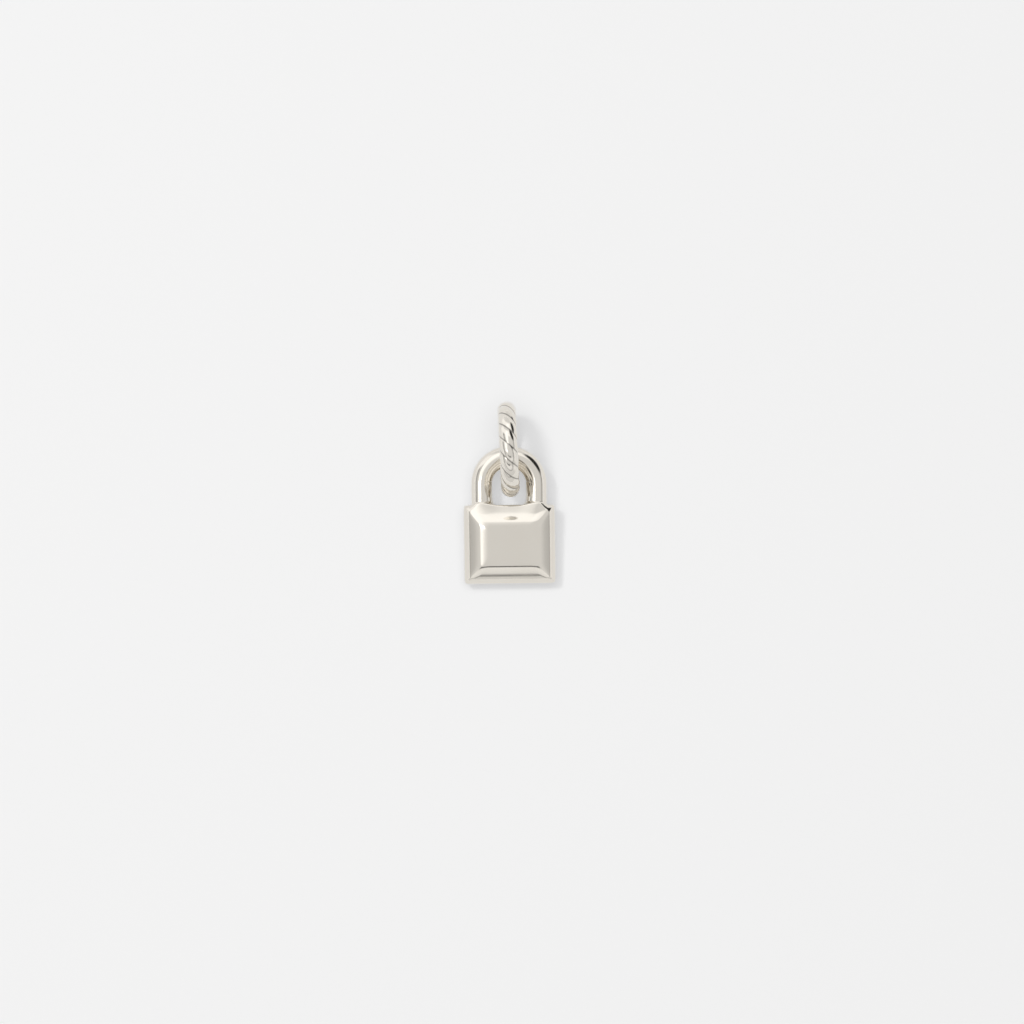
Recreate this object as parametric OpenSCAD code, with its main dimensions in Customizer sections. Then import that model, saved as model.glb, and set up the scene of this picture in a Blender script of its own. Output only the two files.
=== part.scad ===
// Padlock charm of polished silver, hanging from a twisted ring.
// It lies on its back as if just laid down: the ring stands upright, the shackle rests in the ring,
// and the body's lower back edge touches the surface. +X is the charm's right, +Y runs from the body
// to the ring, +Z is up, and z = 0 is the surface. Millimetres.

/* [Padlock body] */
// Width of the body
body_w = 12.6; // [11:0.1:14]
// Height of the body, along the charm
body_h = 10.9; // [9.5:0.1:12.5]
// Thickness between the front and back tables
body_t = 5.0; // [4.6:0.1:5.6]
// Radius of the four corners of the outline
corner_r = 0.5; // [0.3:0.1:1.2]

/* [Rim and bevels] */
// Height of the rounded rim between the front and back bevels
rim_t = 3.1; // [2.9:0.1:3.4]
// How far the rim swells out past the bevels
rim_out = 0.7; // [0.4:0.05:0.9]
// Slope of the four bevels from the tables
bevel_angle = 25; // [20:1:28]
// Distance from the outline to the soft edge of the table
table_in = 2.3; // [2:0.1:2.6]
// Distance from the outline to where the table is quite flat
flat_in = 3.9; // [3.4:0.1:4.4]

/* [Shelf along the top] */
// Distance from the outline to the shelf's inner edge, where the bevel rises from it
shelf_in = 1.4; // [1.2:0.1:1.6]
// Slope of the shelf, front and back
shelf_angle = 12; // [10:1:12]
// How far the shelf rises past the outline as a shoulder in front of and behind each leg
shoulder_up = 0.3; // [0.1:0.05:0.4]
// Width of the straight top of each shoulder
shoulder_w = 1.2; // [0.8:0.1:1.6]

/* [Shackle] */
// Diameter of the shackle's round wire
wire_d = 2.9; // [2.4:0.1:3]
// Radius of the arch at the middle of the wire
arch_r = 3.75; // [3.4:0.05:4]
// Height of the straight legs above the body
leg_h = 2.85; // [2.4:0.05:3.4]
// Radius of the fillet at each foot, inside the opening
foot_r = 0.5; // [0.3:0.05:0.7]

/* [Bail ring] */
// Outer diameter of the ring
ring_d = 13.15; // [12.8:0.05:13.8]
// Diameter over the strands of the twist
rope_d = 2.55; // [2.4:0.05:2.6]
// Number of strands in the twist
strands = 3; // [3:1:5]
// Radius of the round back of each strand
strand_r = 1.055; // [0.95:0.005:1.1]
// Number of bumps round the ring, where a strand comes to the outside
bumps = 18; // [15:1:22]
// Turn of the upright ring about the vertical
ring_yaw = 2.2; // [0:0.1:6]

/* [Resting place] */
// Distance from the ring's centre to the crown of the arch, seen from above
crown_back = 0.7; // [0.6:0.05:1.2]
// Gap between the shackle and the ring where one rests in the other
rest_gap = 0.08; // [0.06:0.01:0.15]

/* [Hidden] */
$fn = 96;
silver = [0.83, 0.81, 0.78];

rope_r = rope_d / 2;
ring_r = ring_d / 2 - rope_r;
hole_r = ring_r - rope_r;
strand_at = rope_r - strand_r;
strand_turn = 360 / strands;
groove_turn = 180 / strands + asin(strand_at * sin(180 / strands) / strand_r);
slices = 6 * bumps;
arc_steps = 8;

// Section of the rope: the round back of each strand, up to the sharp groove before the next
rope_section = [for (s = [0:strands - 1], k = [1:arc_steps])
    let (t = groove_turn * (2 * k / arc_steps - 1))
    turned([strand_at + strand_r * cos(t), strand_r * sin(t)], strand_turn * s)];
function turned(p, a) = [p.x * cos(a) - p.y * sin(a), p.x * sin(a) + p.y * cos(a)];

// Place on the ring of a point of the section, at an angle round the ring from its lowest point
function ring_point(p, a) = [p.y, (ring_r + p.x) * sin(a), -(ring_r + p.x) * cos(a)];

// The ring's surface, with a groove at the bottom, and its middle's height as it stands there
ring_points = [for (i = [0:slices - 1]) let (a = 360 * i / slices)
    for (p = rope_section) ring_point(turned(p, strand_turn / 2 + a * bumps / strands), a)];
ring_z = max([for (p = ring_points) -p.z]);

// Section of the body, as distances in from the outline and heights from the middle plane
wire_r = wire_d / 2;
half_t = body_t / 2;
rim_h = rim_t / 2;
edge_h = rim_h + (table_in - rim_out) * tan(bevel_angle);
function arc_radius(run, rise) = (run * run + rise * rise) / (2 * rise);
rim_r = arc_radius(rim_h, rim_out);
dome_r = arc_radius(flat_in - table_in, half_t - edge_h);

// Place of the padlock: its crown hangs over the ring's lowest inside, and the lowest edge of its
// back touches the surface. The tilt follows from the two.
crown_at = body_h / 2 + leg_h + arch_r;
crown_z = ring_z - sqrt(pow(hole_r - wire_r - rest_gap, 2) - pow(crown_back, 2));
heel_drop = half_t - dome_r;
heel_run = body_h / 2 - flat_in + crown_at;
tilt = atan2(heel_run, heel_drop) - acos((crown_z - dome_r) / norm([heel_run, heel_drop]));
padlock_z = crown_z - crown_at * sin(tilt);

// The whole length is centred on y = 0
below_middle = (body_h / 2 - rim_r) * cos(tilt) + rim_r;
crown_y = crown_at * cos(tilt);
above_middle = crown_y + crown_back + ring_r + rope_r;
padlock_y = (below_middle - above_middle) / 2;
ring_y = padlock_y + crown_y + crown_back;

// Section across the body over a given width: flat tables, soft table edges, bevels and rim
module section(width) {
    rim = [width / 2, 0];
    bevel_foot = [width / 2 - rim_out, rim_h];
    table_edge = [width / 2 - table_in, edge_h];
    flat_edge = [width / 2 - flat_in, half_t];
    quarter = [[0, 0], rim, bevel_foot, table_edge, flat_edge, [0, half_t]];
    for (side = [0, 1], face = [0, 1])
        mirror([side, 0]) mirror([0, face]) {
            polygon(quarter);
            swell(rim, bevel_foot, [width / 2 - rim_r, 0], rim_r);
            swell(table_edge, flat_edge, [width / 2 - flat_in, half_t - dome_r], dome_r);
        }
}

// Round part of the outline from one point to another, outside the straight line between them
module swell(from, to, centre, radius) {
    out = [to.y - from.y, from.x - to.x];
    intersection() {
        translate(centre) circle(r = radius);
        polygon([from, from + out, to + out, to]);
    }
}

// Solid body: two bars of the same section, crossed, so that the bevels meet in mitres, with the
// shelf in place of the rim along the top
module body() {
    shelf();
    intersection() {
        rotate([90, 0, 0]) linear_extrude(height = body_h, center = true) section(body_w);
        rotate([90, 0, 90]) linear_extrude(height = body_w, center = true) section(body_h);
        linear_extrude(height = body_t, center = true) outline();
    }
}

module outline() {
    inner_w = body_w - 2 * corner_r;
    inner_h = body_h - 2 * corner_r;
    square([body_w, inner_h], center = true);
    square([inner_w, body_h], center = true);
    for (x = [-1, 1], y = [-1, 1])
        translate([x * inner_w / 2, y * inner_h / 2]) circle(r = corner_r);
}

// Shelf along the top, of one slope in front and behind. In plan it is straight between the legs,
// rises to a shoulder at each leg and falls away to the rim's corner. The side bevels cut its ends.
module shelf() {
    top = body_h / 2;
    inner_z = rim_h + (shelf_in - rim_out) * tan(bevel_angle);
    outer_z = inner_z - (shelf_in + shoulder_up) * tan(shelf_angle);
    half_plan = [
        [0, top - shelf_in], [0, top], [arch_r - wire_r - foot_r, top],
        [arch_r - shoulder_w * 0.75, top + shoulder_up * 0.6],
        [arch_r - shoulder_w * 0.4, top + shoulder_up],
        [arch_r + shoulder_w * 0.6, top + shoulder_up],
        [body_w / 2 - rim_out, top - rim_out], [body_w / 2 - rim_out, top - shelf_in]];
    side = [
        [top - shelf_in, inner_z], [top + shoulder_up, outer_z],
        [top + shoulder_up, -outer_z], [top - shelf_in, -inner_z]];
    intersection() {
        rotate([90, 0, 0]) linear_extrude(height = body_h + 4 * shoulder_up, center = true)
            section(body_w);
        rotate([90, 0, 90]) linear_extrude(height = body_w, center = true) polygon(side);
        linear_extrude(height = body_t, center = true)
            for (half = [0, 1]) mirror([half, 0]) polygon(half_plan);
    }
}

// Round wire bent to an arch, with two straight legs that run into the body
module shackle() {
    root = 2;
    translate([0, body_h / 2 + leg_h, 0])
        rotate_extrude(angle = 180) translate([arch_r, 0]) circle(r = wire_r);
    for (side = [0, 1])
        mirror([side, 0, 0]) translate([arch_r, body_h / 2, 0]) rotate([-90, 0, 0]) {
            translate([0, 0, -root]) cylinder(r = wire_r, h = root + leg_h);
            foot();
        }
}

// Fillet between a leg and the rim in the corner of the opening, half as thick as the rim
module foot() {
    reach = wire_r + foot_r;
    sunk = rim_out / 2;
    intersection() {
        union() {
            translate([0, 0, -sunk]) cylinder(r = reach, h = sunk);
            rotate_extrude() difference() {
                square([reach, foot_r]);
                translate([reach, foot_r]) circle(r = foot_r);
            }
        }
        translate([-reach, -rim_t / 4, -sunk]) cube([reach, rim_t / 2, sunk + foot_r]);
    }
}

module padlock() {
    color(silver) translate([0, padlock_y, padlock_z]) rotate([tilt, 0, 0]) {
        body();
        shackle();
    }
}

// Strands twisted together and closed to a ring, joined along their grooves
module bail_ring() {
    sides = len(rope_section);
    joined_turn = sides / strands * (bumps % strands);
    function corner(i, j) = i < slices
        ? i * sides + j % sides
        : (j + joined_turn) % sides;
    faces = [for (i = [0:slices - 1], j = [0:sides - 1]) each [
        [corner(i, j), corner(i, j + 1), corner(i + 1, j)],
        [corner(i + 1, j), corner(i, j + 1), corner(i + 1, j + 1)]]];
    color(silver) translate([0, ring_y, ring_z]) rotate([0, 0, ring_yaw]) polyhedron(ring_points, faces);
}

padlock();
bail_ring();
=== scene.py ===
import math

import bmesh
import bpy
from mathutils import Matrix, Vector


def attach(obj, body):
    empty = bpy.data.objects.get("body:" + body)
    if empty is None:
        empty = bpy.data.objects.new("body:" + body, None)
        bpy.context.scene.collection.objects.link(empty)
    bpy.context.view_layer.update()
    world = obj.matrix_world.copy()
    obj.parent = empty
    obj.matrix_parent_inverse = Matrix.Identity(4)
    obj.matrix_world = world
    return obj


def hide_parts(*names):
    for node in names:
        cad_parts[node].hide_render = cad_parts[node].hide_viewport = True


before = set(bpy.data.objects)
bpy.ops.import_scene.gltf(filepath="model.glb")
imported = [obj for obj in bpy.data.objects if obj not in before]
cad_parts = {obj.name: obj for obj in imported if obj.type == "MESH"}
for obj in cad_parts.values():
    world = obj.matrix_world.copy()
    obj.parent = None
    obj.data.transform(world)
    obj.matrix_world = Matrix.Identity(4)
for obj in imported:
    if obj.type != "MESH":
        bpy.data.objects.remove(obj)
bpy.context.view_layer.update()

# Padlock: a cushion body and a round shackle, one piece of sterling silver polished all over. The
# feet of the shackle run into the shelf along the body's top. Sizes are in millimetres, with the
# body's middle at the origin, until the piece is laid down.
body_width, body_height = 12.6, 10.9
rim_radius, rim_edge_in, rim_edge_at = 2.066, 0.7, 1.55
wire_radius, arch_radius, leg_height = 1.45, 3.75, 2.85
padlock_tilt = math.radians(6.735)
padlock_place = (0.0, -6.908, 2.709)

# The buffed bevels swell a little, so their slope in degrees falls from the rim to the flat table.
# Each stop is (distance in from the outline, slope).
slopes = [
    (rim_edge_in, 31.5),
    (1.44, 26.0),
    (2.2, 20.0),
    (2.45, 13.5),
    (2.85, 6.0),
    (3.3, 2.0),
    (3.9, 0.0),
]


def front_height(inset):
    """Height of the front at a distance in from the outline, summed up along the slopes."""
    height = rim_edge_at
    for (start, slope), (end, next_slope) in zip(slopes, slopes[1:]):
        here = min(max(inset, start), end)
        share = (here - start) / (end - start)
        middle_slope = slope + (next_slope - slope) * share / 2
        height += (here - start) * math.tan(math.radians(middle_slope))
    return height


# Each loop round the body is (inset from the outline, height), from the rim's middle to the table.
# Subdivision pulls the round rim in, so its loops lie a little outside its arc.
arc_height = 0.8
arc_inset = rim_radius - math.sqrt(rim_radius**2 - arc_height**2)
rim_loops = [(-0.05, 0.0), (arc_inset - 0.06, arc_height + 0.03), (rim_edge_in, rim_edge_at)]
face_insets = (0.82, 1.1, 1.6, 2.0, 2.25, 2.5, 2.8, 3.3, 3.9)
front_loops = rim_loops + [(inset, front_height(inset)) for inset in face_insets]
back_loops = [(inset, -height) for inset, height in front_loops[:0:-1]]
loops = back_loops + front_loops

# The columns come close together at the corners and frame the two feet of the shackle.
foot_columns = [1.7, 2.6, arch_radius, 4.7, 5.45]
half_columns = [0.8] + foot_columns + [5.8, body_width / 2]
columns = [-x for x in reversed(half_columns)] + [0.0] + half_columns
rows = [-body_height / 2, -4.95, -2.7, 0.0, 2.7, 4.95, body_height / 2]
last_column, last_row = len(columns) - 1, len(rows) - 1
around = (
    [(c, 0) for c in range(last_column)]
    + [(last_column, r) for r in range(last_row)]
    + [(c, last_row) for c in range(last_column, 0, -1)]
    + [(0, r) for r in range(last_row, 0, -1)]
)

# Shelf and shoulders: how far the edge of the top rim moves out sideways and upwards at each
# column. The loops make a share of that move, and lie lower, by their distance in from the outline.
shelf_rise = 0.67
shelf_moves = {
    0.0: (0.0, shelf_rise),
    0.8: (0.0, shelf_rise),
    1.7: (0.25, 0.68),
    2.6: (0.55, 0.86),
    3.75: (0.42, 0.98),
    4.7: (0.25, 0.97),
    5.45: (0.08, 0.50),
    5.8: (0.0, 0.22),
    6.3: (0.0, 0.0),
}
shelf_shares = [
    (-0.05, -0.07),
    (0.101, 0.15),
    (rim_edge_in, 1.0),
    (0.82, 0.95),
    (1.1, 0.72),
    (1.6, 0.25),
    (2.0, 0.08),
    (2.25, 0.0),
]
shelf_drops = [(rim_edge_in, 0.0), (0.82, 0.02), (1.1, 0.08), (1.6, 0.12), (2.0, 0.05), (2.25, 0.0)]

cage = bmesh.new()
corner_cut, corner_opening, steady_column = 0.095, 0.8, 2.6


def between(stops, at):
    """Value at a place among (place, value) stops, on straight lines from stop to stop."""
    at = min(max(at, stops[0][0]), stops[-1][0])
    for (start, value), (end, next_value) in zip(stops, stops[1:]):
        if at <= end:
            return value + (next_value - value) * (at - start) / (end - start)


def body_point(column, row, inset, height):
    """The corners are small on the rim and open out towards the table, which blurs the mitres."""
    openness = min(1.0, max(0.0, (inset - 0.5) / 1.2)) * corner_opening
    corner_column, corner_row = columns[-2], rows[-2]
    x, y = columns[column], rows[row]
    if column in (0, last_column) and row in (0, last_row):
        x, y = x - math.copysign(corner_cut, x), y - math.copysign(corner_cut, y)
    elif abs(x) <= corner_column:
        share = (abs(x) - steady_column) / (corner_column - steady_column)
        x -= math.copysign(openness * min(1.0, max(0.0, share)), x)
    if abs(y) == corner_row:
        y -= math.copysign(openness, y)
    x *= 1 - inset / (body_width / 2)
    y *= 1 - inset / (body_height / 2)
    if row == last_row:
        sideways, upwards = shelf_moves[abs(columns[column])]
        x += math.copysign(sideways * between(shelf_shares, inset), x)
        y += upwards * between(shelf_shares, inset)
        drop = between(shelf_drops, inset) * min(1.0, upwards / shelf_rise)
        height -= math.copysign(drop, height)
    return cage.verts.new((x, y, height))


# The top of the rim stays open where the feet of the shackle join it.
body_loops = [{at: body_point(*at, *loop) for at in around} for loop in loops]
front_edge = len(loops) - 1 - loops[::-1].index((rim_edge_in, rim_edge_at))
back_edge = loops.index((rim_edge_in, -rim_edge_at))
feet = {c for c in range(last_column + 1) if abs(columns[c]) in foot_columns}
for level in range(len(loops) - 1):
    below, above = body_loops[level], body_loops[level + 1]
    for step, here in enumerate(around):
        there = around[(step + 1) % len(around)]
        on_rim = back_edge <= level < front_edge
        if on_rim and here[1] == there[1] == last_row and {here[0], there[0]} <= feet:
            continue
        cage.faces.new((below[here], below[there], above[there], above[here]))

for edge_loop, loop in ((body_loops[-1], loops[-1]), (body_loops[0], loops[0])):
    table = {
        (c, r): edge_loop.get((c, r)) or body_point(c, r, *loop)
        for c in range(last_column + 1)
        for r in range(last_row + 1)
    }
    for c in range(last_column):
        for r in range(last_row):
            corners = (c, r), (c + 1, r), (c + 1, r + 1), (c, r + 1)
            cage.faces.new([table[corner] for corner in corners])

# Every loop round the wire has sixteen points and starts on the wire's outer side. Subdivision
# pulls such a loop, and the arch, in to these shares of their radius, so both are drawn larger.
points_round, loop_pull, arch_pull = 16, 0.9746, 0.9936
foot_half_depth, foot_rise = 1.49, 0.32


def gap_loop(side):
    """Edge of the gap in the rim, which the lowest loop of a leg shares with the body."""
    outer, outer_half, middle, inner_half, inner = [
        columns.index(side * x) for x in reversed(foot_columns)
    ]
    mid = (front_edge + back_edge) // 2
    route = [(outer, mid), (outer, mid + 1)]
    route += [(c, front_edge) for c in (outer, outer_half, middle, inner_half, inner)]
    route += [(inner, mid + 1), (inner, mid), (inner, mid - 1)]
    route += [(c, back_edge) for c in (inner, inner_half, middle, outer_half, outer)]
    route += [(outer, mid - 1)]
    return [body_loops[level][(column, last_row)] for column, level in route]


def foot_loop(side, spread, fillet, rise, follow):
    """Loop near a foot: wider than the wire by spread, and by fillet more inside the opening. It
    follows the top of the shoulder by a share, and lies higher by rise."""
    loop = []
    for step in range(points_round):
        turn = math.tau * step / points_round
        inward = max(0.0, -math.cos(turn)) ** 1.5
        reach = (wire_radius + spread + fillet * inward) / loop_pull
        x = arch_radius + reach * math.cos(turn)
        z = max(-foot_half_depth, min(foot_half_depth, reach * math.sin(turn)))
        on_shoulder = min(1.0, max(0.0, (abs(z) - 0.5) / 0.8)) * (1 - min(1.0, inward * 1.5))
        y = body_height / 2 + follow * foot_rise * on_shoulder + rise * (1 + 2.2 * inward)
        loop.append(cage.verts.new((side * x, y, z)))
    return loop


def arch_loop(bend):
    """Loop round the wire at an angle along the arch, from the leg on the right."""
    loop = []
    for step in range(points_round):
        turn = math.tau * step / points_round
        out = arch_radius / arch_pull + wire_radius / loop_pull * math.cos(turn)
        x, y = out * math.cos(bend), out * math.sin(bend)
        z = wire_radius / loop_pull * math.sin(turn)
        loop.append(cage.verts.new((x, body_height / 2 + leg_height + y, z)))
    return loop


def leg_loops(side):
    """The loops of one leg, from the gap in the rim up to the arch."""
    return [
        gap_loop(side),
        foot_loop(side, spread=0.10, fillet=0.42, rise=0.0, follow=1.0),
        foot_loop(side, spread=0.03, fillet=0.12, rise=0.07, follow=1.0),
        foot_loop(side, spread=0.0, fillet=0.02, rise=0.22, follow=0.7),
        foot_loop(side, spread=0.0, fillet=0.0, rise=0.9, follow=0.0),
        foot_loop(side, spread=0.0, fillet=0.0, rise=1.9, follow=0.0),
    ]


arch_steps = 16
wire_loops = leg_loops(1)
wire_loops += [arch_loop(math.pi * step / arch_steps) for step in range(arch_steps + 1)]
wire_loops += leg_loops(-1)[::-1]
for lower, upper in zip(wire_loops, wire_loops[1:]):
    for step in range(points_round):
        after = (step + 1) % points_round
        cage.faces.new((lower[step], lower[after], upper[after], upper[step]))

bmesh.ops.recalc_face_normals(cage, faces=cage.faces)
lay_down = (
    Matrix.Scale(0.001, 4)
    @ Matrix.Translation(padlock_place)
    @ Matrix.Rotation(padlock_tilt, 4, "X")
)
cage.transform(lay_down)
padlock_mesh = bpy.data.meshes.new("padlock_silver")
cage.to_mesh(padlock_mesh)
cage.free()
padlock_mesh.shade_smooth()
padlock = bpy.data.objects.new("padlock_silver", padlock_mesh)
bpy.context.scene.collection.objects.link(padlock)
smooth = padlock.modifiers.new("polished_form", "SUBSURF")
smooth.levels = smooth.render_levels = 2


def linear(hex_colour, alpha=1.0):
    """sRGB hex, such as "E9E2D6", as the linear colour that a shader takes."""
    channels = [int(hex_colour[i : i + 2], 16) / 255 for i in (0, 2, 4)]
    channels = [c / 12.92 if c <= 0.04045 else ((c + 0.055) / 1.055) ** 2.4 for c in channels]
    return (*channels, alpha)


def add_node(tree, kind, settings=None, inputs=None):
    """Adds a node. An input is a value, or a node's output socket to link."""
    node = tree.nodes.new(kind)
    for name, value in (settings or {}).items():
        setattr(node, name, value)
    for name, value in (inputs or {}).items():
        if isinstance(value, bpy.types.NodeSocket):
            tree.links.new(value, node.inputs[name])
        else:
            node.inputs[name].default_value = value
    return node


# Sterling silver, cast and then polished on a buff: a warm mirror. The buff leaves a haze in
# patches of about 4 mm and hairlines about 0.1 mm apart, which spread each highlight a little.
polished_silver = bpy.data.materials.new("polished_sterling_silver")
polished_silver.use_nodes = True
tree = polished_silver.node_tree
tree.nodes.clear()
place = add_node(tree, "ShaderNodeTexCoord").outputs["Object"]
haze = add_node(
    tree,
    "ShaderNodeTexNoise",
    inputs={"Vector": place, "Scale": 260.0, "Detail": 3.0, "Roughness": 0.55},
).outputs["Fac"]
roughness = add_node(
    tree,
    "ShaderNodeMapRange",
    inputs={"Value": haze, "From Min": 0.3, "From Max": 0.7, "To Min": 0.07, "To Max": 0.12},
).outputs["Result"]
warmth = add_node(
    tree,
    "ShaderNodeMix",
    settings={"data_type": "RGBA"},
    inputs={0: haze, 6: linear("E8E3DA"), 7: linear("E3DDD3")},
).outputs[2]
hairlines = add_node(
    tree,
    "ShaderNodeTexNoise",
    inputs={"Vector": place, "Scale": 9000.0, "Detail": 2.0},
).outputs["Fac"]
hairline_bump = add_node(
    tree,
    "ShaderNodeBump",
    inputs={"Strength": 0.05, "Distance": 0.00001, "Height": hairlines},
).outputs["Normal"]
silver = add_node(
    tree,
    "ShaderNodeBsdfPrincipled",
    inputs={
        "Base Color": warmth,
        "Metallic": 1.0,
        "Roughness": roughness,
        "Normal": hairline_bump,
    },
)
add_node(tree, "ShaderNodeOutputMaterial", inputs={"Surface": silver.outputs["BSDF"]})
padlock_mesh.materials.append(polished_silver)
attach(padlock, "root")
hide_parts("padlock")


# Bail ring: a silver bar of three fat strands twisted like rope, bent to a ring and soldered shut.
# The strands lie side by side round the ring and turn about the rope's middle as they go.
ring_radius, strand_offset, strand_radius = 5.3, 0.22, 1.055
strands, twists, path_points = 3, 6, 400
ring_yaw = math.radians(2.2)
ring_place = (0.0, 5.759, 6.516)

# The same silver, rougher from handling in scuffs of about 1.5 mm. The grooves between the
# strands are painted almost black: painted shade where the strands hide each other, and a little
# tarnish.
painted_shade_darkest_at, painted_shade_end_at = 1.167, 1.222
twisted_silver = bpy.data.materials.new("twisted_sterling_silver_wire")
twisted_silver.use_nodes = True
tree = twisted_silver.node_tree
tree.nodes.clear()
place = add_node(tree, "ShaderNodeTexCoord").outputs["Object"]
from_middle = add_node(
    tree,
    "ShaderNodeAttribute",
    settings={"attribute_type": "GEOMETRY", "attribute_name": "from_rope_middle"},
).outputs["Fac"]
# Share of the surface clear of the painted shade that darkens the grooves between the strands.
clear_of_painted_groove_shade = add_node(
    tree,
    "ShaderNodeMapRange",
    settings={"interpolation_type": "SMOOTHSTEP"},
    inputs={"Value": from_middle, "From Min": painted_shade_darkest_at, "From Max": painted_shade_end_at},
).outputs["Result"]
# Nearly black in the grooves, which is painted shade with a little tarnish, and warm silver
# elsewhere.
wire_colour_with_painted_groove_shade = add_node(
    tree,
    "ShaderNodeMix",
    settings={"data_type": "RGBA"},
    inputs={0: clear_of_painted_groove_shade, 6: linear("24221F"), 7: linear("E8E3DA")},
).outputs[2]
scuffs = add_node(
    tree,
    "ShaderNodeTexNoise",
    inputs={"Vector": place, "Scale": 700.0, "Detail": 2.0},
).outputs["Fac"]
wire_roughness = add_node(
    tree,
    "ShaderNodeMapRange",
    inputs={"Value": scuffs, "From Min": 0.3, "From Max": 0.7, "To Min": 0.08, "To Max": 0.16},
).outputs["Result"]
wire_silver = add_node(
    tree,
    "ShaderNodeBsdfPrincipled",
    inputs={"Base Color": wire_colour_with_painted_groove_shade, "Metallic": 1.0, "Roughness": wire_roughness},
)
add_node(tree, "ShaderNodeOutputMaterial", inputs={"Surface": wire_silver.outputs["BSDF"]})

rope = bpy.data.node_groups.new("twisted_rope_ring", "GeometryNodeTree")
rope_sizes = {
    "Ring Radius": ring_radius * 0.001,
    "Strand Offset": strand_offset * 0.001,
    "Strand Radius": strand_radius * 0.001,
    "Twists": float(twists),
    "Strands": float(strands),
}
for name in rope_sizes:
    rope.interface.new_socket(name, in_out="INPUT", socket_type="NodeSocketFloat")
rope.interface.new_socket("Wire", in_out="INPUT", socket_type="NodeSocketMaterial")
rope.interface.new_socket("Geometry", in_out="OUTPUT", socket_type="NodeSocketGeometry")
given = add_node(rope, "NodeGroupInput").outputs

# The point numbers run on from strand to strand. So the whole rounds that they make are the
# strand's number, which sets how far its twist starts from that of the first strand.
point_number = add_node(rope, "GeometryNodeInputIndex").outputs[0]
rounds = add_node(
    rope, "ShaderNodeMath", {"operation": "DIVIDE"}, {0: point_number, 1: float(path_points)}
).outputs[0]
round_turn = add_node(
    rope, "ShaderNodeMath", {"operation": "MULTIPLY"}, {0: rounds, 1: math.tau}
).outputs[0]
strand_number = add_node(rope, "ShaderNodeMath", {"operation": "FLOOR"}, {0: rounds}).outputs[0]
strand_rounds = add_node(
    rope,
    "ShaderNodeMath",
    settings={"operation": "MULTIPLY_ADD"},
    inputs={0: strand_number, 1: math.tau, 2: math.pi},
).outputs[0]
strand_turn = add_node(
    rope, "ShaderNodeMath", {"operation": "DIVIDE"}, {0: strand_rounds, 1: given["Strands"]}
).outputs[0]
twist_turn = add_node(
    rope,
    "ShaderNodeMath",
    settings={"operation": "MULTIPLY_ADD"},
    inputs={0: round_turn, 1: given["Twists"], 2: strand_turn},
).outputs[0]
round_sine, round_cosine, twist_sine, twist_cosine = [
    add_node(rope, "ShaderNodeMath", {"operation": operation}, {0: turn}).outputs[0]
    for turn in (round_turn, twist_turn)
    for operation in ("SINE", "COSINE")
]

# The ring stands upright, with its lowest point first. Each strand lies off the rope's middle by
# its offset, out from the ring's centre and aside along its axis.
downwards = add_node(
    rope, "ShaderNodeMath", {"operation": "MULTIPLY"}, {0: round_cosine, 1: -1.0}
).outputs[0]
outwards = add_node(
    rope, "ShaderNodeCombineXYZ", inputs={"Y": round_sine, "Z": downwards}
).outputs[0]
middle = add_node(
    rope,
    "ShaderNodeVectorMath",
    settings={"operation": "SCALE"},
    inputs={"Vector": outwards, "Scale": given["Ring Radius"]},
).outputs[0]
strand_out = add_node(
    rope,
    "ShaderNodeMath",
    settings={"operation": "MULTIPLY_ADD"},
    inputs={0: twist_cosine, 1: given["Strand Offset"], 2: given["Ring Radius"]},
).outputs[0]
strand_aside = add_node(
    rope,
    "ShaderNodeMath",
    settings={"operation": "MULTIPLY"},
    inputs={0: twist_sine, 1: given["Strand Offset"]},
).outputs[0]
in_plane = add_node(
    rope,
    "ShaderNodeVectorMath",
    settings={"operation": "SCALE"},
    inputs={"Vector": outwards, "Scale": strand_out},
).outputs[0]
aside = add_node(rope, "ShaderNodeCombineXYZ", inputs={"X": strand_aside}).outputs[0]
path = add_node(
    rope, "ShaderNodeVectorMath", {"operation": "ADD"}, {0: in_plane, 1: aside}
).outputs[0]
loop = add_node(
    rope, "GeometryNodeCurvePrimitiveCircle", inputs={"Resolution": path_points}
).outputs["Curve"]
strand_loops = add_node(
    rope,
    "GeometryNodeDuplicateElements",
    settings={"domain": "SPLINE"},
    inputs={"Geometry": loop, "Amount": given["Strands"]},
).outputs[0]
wound = add_node(
    rope,
    "GeometryNodeSetPosition",
    inputs={"Geometry": strand_loops, "Position": path},
).outputs[0]

# The wire remembers the rope's middle beside it, and tells the material how far from it each
# point of its surface lies, in millimetres.
marked = add_node(
    rope,
    "GeometryNodeStoreNamedAttribute",
    settings={"data_type": "FLOAT_VECTOR", "domain": "POINT"},
    inputs={"Geometry": wound, "Name": "rope_middle", "Value": middle},
).outputs[0]
section = add_node(
    rope,
    "GeometryNodeCurvePrimitiveCircle",
    inputs={"Resolution": 48, "Radius": given["Strand Radius"]},
).outputs["Curve"]
wire = add_node(
    rope,
    "GeometryNodeCurveToMesh",
    inputs={"Curve": marked, "Profile Curve": section},
).outputs[0]
rope_middle = add_node(
    rope,
    "GeometryNodeInputNamedAttribute",
    settings={"data_type": "FLOAT_VECTOR"},
    inputs={"Name": "rope_middle"},
).outputs[0]
apart = add_node(
    rope,
    "ShaderNodeVectorMath",
    settings={"operation": "DISTANCE"},
    inputs={0: add_node(rope, "GeometryNodeInputPosition").outputs[0], 1: rope_middle},
).outputs["Value"]
apart_mm = add_node(
    rope, "ShaderNodeMath", {"operation": "MULTIPLY"}, {0: apart, 1: 1000.0}
).outputs[0]
told = add_node(
    rope,
    "GeometryNodeStoreNamedAttribute",
    settings={"data_type": "FLOAT", "domain": "POINT"},
    inputs={"Geometry": wire, "Name": "from_rope_middle", "Value": apart_mm},
).outputs[0]
smooth_wire = add_node(rope, "GeometryNodeSetShadeSmooth", inputs={"Geometry": told}).outputs[0]
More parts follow.
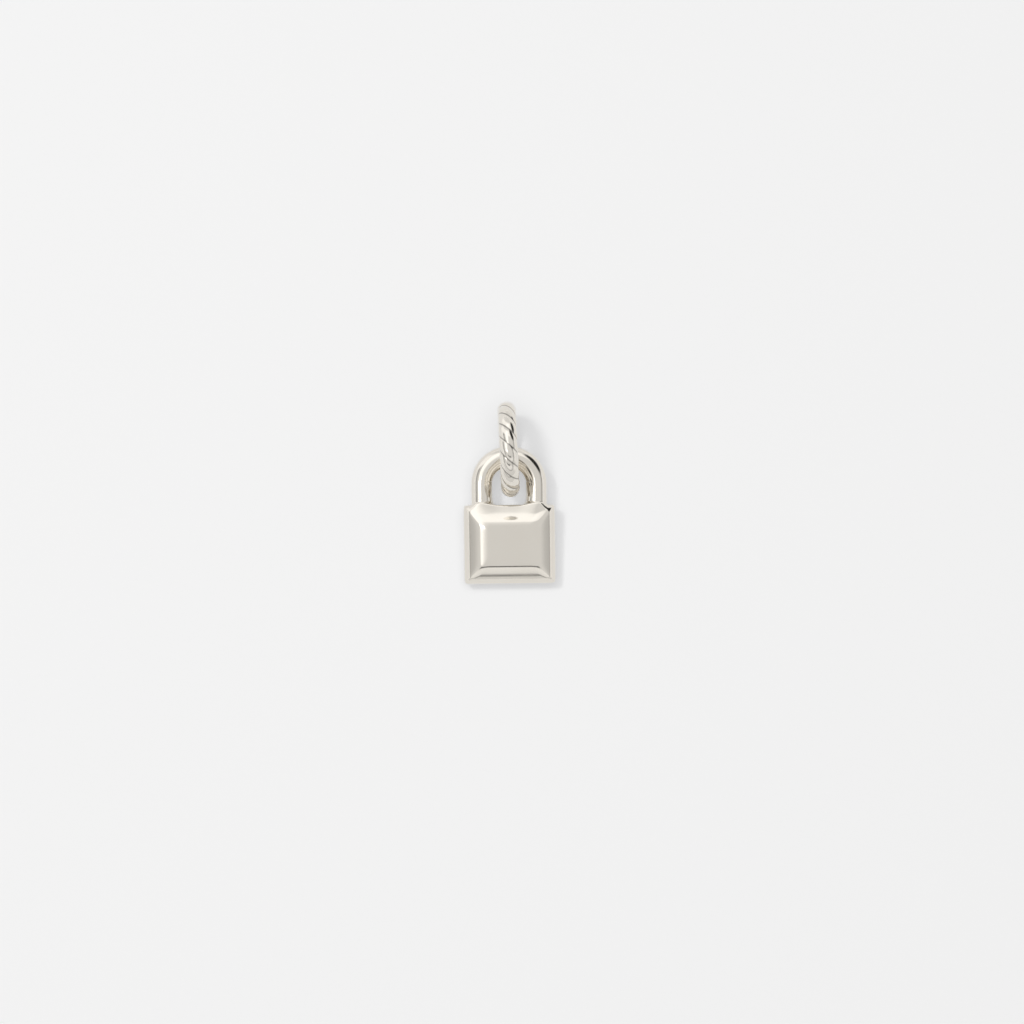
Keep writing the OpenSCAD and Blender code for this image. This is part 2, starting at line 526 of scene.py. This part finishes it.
real = add_node(rope, "GeometryNodeRealizeInstances", inputs={"Geometry": smooth_wire}).outputs[0]
dressed = add_node(
    rope, "GeometryNodeSetMaterial", inputs={"Geometry": real, "Material": given["Wire"]}
).outputs[0]
add_node(rope, "NodeGroupOutput", inputs={"Geometry": dressed})

maker = bpy.data.objects.new("rope_maker", bpy.data.meshes.new("rope_maker"))
bpy.context.scene.collection.objects.link(maker)
winding = maker.modifiers.new("winding", "NODES")
winding.node_group = rope
sockets = {
    item.name: item.identifier for item in rope.interface.items_tree if item.in_out == "INPUT"
}
for name, size in rope_sizes.items():
    winding[sockets[name]] = size
winding[sockets["Wire"]] = twisted_silver
bpy.context.view_layer.update()
seen = maker.evaluated_get(bpy.context.evaluated_depsgraph_get())
ring_mesh = bpy.data.meshes.new_from_object(seen)
bpy.data.objects.remove(maker)
ring_mesh.transform(
    Matrix.Translation(Vector(ring_place) * 0.001) @ Matrix.Rotation(ring_yaw, 4, "Z")
)
bail_ring = bpy.data.objects.new("bail_ring_wires", ring_mesh)
bpy.context.scene.collection.objects.link(bail_ring)
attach(bail_ring, "root")
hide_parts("bail_ring")


# Floor: a light table, which is a sheet of matt white acrylic lit evenly from below. The glow keeps
# the shadows thin, also inside the shackle.
board_mesh = bpy.data.meshes.new("light_table")
board_mesh.from_pydata(
    [(-2.0, -2.0, 0.0), (2.0, -2.0, 0.0), (2.0, 2.0, 0.0), (-2.0, 2.0, 0.0)], [], [(0, 1, 2, 3)]
)
board = bpy.data.objects.new("light_table", board_mesh)
bpy.context.scene.collection.objects.link(board)
acrylic = bpy.data.materials.new("matt_white_acrylic")
acrylic.use_nodes = True
tree = acrylic.node_tree
tree.nodes.clear()
sheet = add_node(
    tree,
    "ShaderNodeBsdfPrincipled",
    inputs={
        "Base Color": (0.89, 0.89, 0.89, 1.0),
        "Roughness": 0.9,
        "Specular IOR Level": 0.1,
        "Emission Color": (1.0, 1.0, 1.0, 1.0),
        "Emission Strength": 0.50,
    },
)
add_node(tree, "ShaderNodeOutputMaterial", inputs={"Surface": sheet.outputs["BSDF"]})
board_mesh.materials.append(acrylic)

# Light: a lamp from the upper left throws the shadow, and a wide soft disk overhead fills it. The
# silver mirrors neither, only a small strip light and the room.
lamp = bpy.data.lights.new("soft_lamp", "AREA")
lamp.shape = "DISK"
lamp.size = 0.12
lamp.energy = 0.79
lamp_object = bpy.data.objects.new("soft_lamp", lamp)
lamp_way, lamp_distance = Vector((-0.37, 0.20, 1.0)).normalized(), 0.75
lamp_object.location = lamp_way * lamp_distance
lamp_object.rotation_euler = lamp_way.to_track_quat("Z", "Y").to_euler()
lamp_object.visible_glossy = False
bpy.context.scene.collection.objects.link(lamp_object)

overhead = bpy.data.lights.new("overhead_fill", "AREA")
overhead.shape = "DISK"
overhead.size = 3.7
overhead.energy = 58.7
overhead_object = bpy.data.objects.new("overhead_fill", overhead)
overhead_object.location = (-0.25, 0.1, 4.0)
overhead_object.visible_glossy = False
bpy.context.scene.collection.objects.link(overhead_object)

strip = bpy.data.lights.new("soft_strip", "AREA")
strip.shape = "RECTANGLE"
strip.size, strip.size_y = 0.040, 0.0093
strip.energy = 0.0015
strip_object = bpy.data.objects.new("soft_strip", strip)
strip_object.location = (-0.035, -0.00765, 0.080)
strip_object.visible_camera = False
strip_object.visible_diffuse = False
bpy.context.scene.collection.objects.link(strip_object)

# The silver throws no light back onto the table, which stays even right round the charm.
padlock.visible_diffuse = False
bail_ring.visible_diffuse = False

# Room, seen in the silver alone: white walls with a thin dark gap in them, a pale panel and a dark
# patch on the far side, and a bright soft box high on the left.
room = bpy.data.worlds.new("white_room")
bpy.context.scene.world = room
room.use_nodes = True
room.cycles_visibility.diffuse = False
tree = room.node_tree
tree.nodes.clear()
way = add_node(tree, "ShaderNodeTexCoord").outputs["Generated"]
parts = add_node(tree, "ShaderNodeSeparateXYZ", inputs={0: way}).outputs

# Greys from the horizon, 0, to straight overhead, 1. The panel's are its share, from the near side
# of the room to the far one.
room_greys = {
    "side walls": (
        "Z",
        [
            (0.0, 0.80),
            (0.345, 0.82),
            (0.385, 0.12),
            (0.42, 0.12),
            (0.45, 0.44),
            (0.60, 0.52),
            (0.72, 0.66),
        ],
    ),
    "far wall": ("Z", [(0.0, 0.70), (0.50, 0.66), (0.80, 0.66)]),
    "near wall": (
        "Z",
        [
            (0.0, 0.62),
            (0.41, 0.66),
            (0.445, 0.20),
            (0.465, 0.20),
            (0.50, 0.74),
            (0.70, 0.82),
            (0.755, 0.78),
            (0.785, 0.08),
            (0.815, 0.08),
            (0.86, 0.66),
        ],
    ),
    "panel": ("Y", [(0.38, 0.0), (0.46, 1.0), (0.76, 1.0), (0.84, 0.0)]),
}
greys = {}
for name, (axis, stops) in room_greys.items():
    ramp = add_node(tree, "ShaderNodeValToRGB", inputs={"Fac": parts[axis]})
    elements = ramp.color_ramp.elements
    while len(elements) < len(stops):
        elements.new(0.5)
    for element, (at, shade) in zip(elements, stops):
        element.position, element.color = at, (shade, shade, shade, 1.0)
    greys[name] = ramp.outputs["Color"]


def round_patch(azimuth, from_top, inner, outer):
    """1 inside a round patch of the room and 0 outside it, by angles in degrees."""
    lean, turn = math.radians(from_top), math.radians(azimuth)
    centre = (math.sin(lean) * math.cos(turn), math.sin(lean) * math.sin(turn), math.cos(lean))
    facing = add_node(
        tree, "ShaderNodeVectorMath", {"operation": "DOT_PRODUCT"}, {0: way, 1: centre}
    ).outputs["Value"]
    return add_node(
        tree,
        "ShaderNodeMapRange",
        settings={"interpolation_type": "SMOOTHSTEP"},
        inputs={
            "Value": facing,
            "From Min": math.cos(math.radians(outer)),
            "From Max": math.cos(math.radians(inner)),
        },
    ).outputs["Result"]


towards_near = add_node(
    tree,
    "ShaderNodeMapRange",
    settings={"interpolation_type": "SMOOTHSTEP"},
    inputs={"Value": parts["Y"], "From Min": -0.42, "From Max": -0.50},
).outputs["Result"]
box_turn = math.radians(160)
box_side = (math.cos(box_turn), math.sin(box_turn), 0.0)
past_edge = add_node(
    tree, "ShaderNodeVectorMath", {"operation": "DOT_PRODUCT"}, {0: way, 1: box_side}
).outputs["Value"]
beside = add_node(
    tree,
    "ShaderNodeMapRange",
    inputs={"Value": past_edge, "From Min": 0.03, "From Max": 0.33},
).outputs["Result"]
height_there = add_node(
    tree, "ShaderNodeVectorMath", {"operation": "DOT_PRODUCT"}, {0: way, 1: (0.0, 0.2, 1.0)}
).outputs["Value"]
above = add_node(
    tree,
    "ShaderNodeMapRange",
    settings={"interpolation_type": "SMOOTHSTEP"},
    inputs={"Value": height_there, "From Min": 0.77, "From Max": 0.82},
).outputs["Result"]
soft_box = add_node(
    tree, "ShaderNodeMath", {"operation": "MULTIPLY"}, {0: beside, 1: above}
).outputs[0]

# Each layer of the room covers the ones before it where its share is 1.
room_light = greys["side walls"]
for share, layer in (
    (towards_near, greys["near wall"]),
    (round_patch(azimuth=90, from_top=66, inner=18, outer=36), greys["far wall"]),
    (greys["panel"], (0.96, 0.96, 0.96, 1.0)),
    (round_patch(azimuth=38, from_top=66, inner=14, outer=26), (0.02, 0.02, 0.02, 1.0)),
    (soft_box, (1.15, 1.15, 1.15, 1.0)),
):
    room_light = add_node(
        tree, "ShaderNodeMix", {"data_type": "RGBA"}, {0: share, 6: room_light, 7: layer}
    ).outputs[2]
backdrop = add_node(tree, "ShaderNodeBackground", inputs={"Color": room_light, "Strength": 1.19})
add_node(tree, "ShaderNodeOutputWorld", inputs={"Surface": backdrop.outputs["Background"]})

# Camera: nearly straight above the charm and a little below it on the page, turned slightly so that
# the padlock leans as in the photograph, with the body's middle at its pixel there.
body_pixel_x, body_pixel_y, middle_pixel = 509.7, 544.2, 512
view_width, camera_distance = 0.1408, 0.60
lean, roll = math.radians(6.0), math.radians(0.7)
pixel = view_width / (2 * middle_pixel)
aside = (middle_pixel - body_pixel_x) * pixel
upwards = (body_pixel_y - middle_pixel) * pixel
camera = bpy.data.cameras.new("photo_camera")
camera.sensor_width = 36.0
camera.lens = camera.sensor_width * camera_distance / view_width
camera_object = bpy.data.objects.new("photo_camera", camera)
camera_object.matrix_world = (
    Matrix.Translation(Vector(padlock_place) * 0.001)
    @ Matrix.Rotation(lean, 4, "X")
    @ Matrix.Rotation(-roll, 4, "Z")
    @ Matrix.Translation((aside, upwards, camera_distance))
)
bpy.context.scene.collection.objects.link(camera_object)
bpy.context.scene.camera = camera_object
bpy.context.scene.view_settings.view_transform = "Standard"
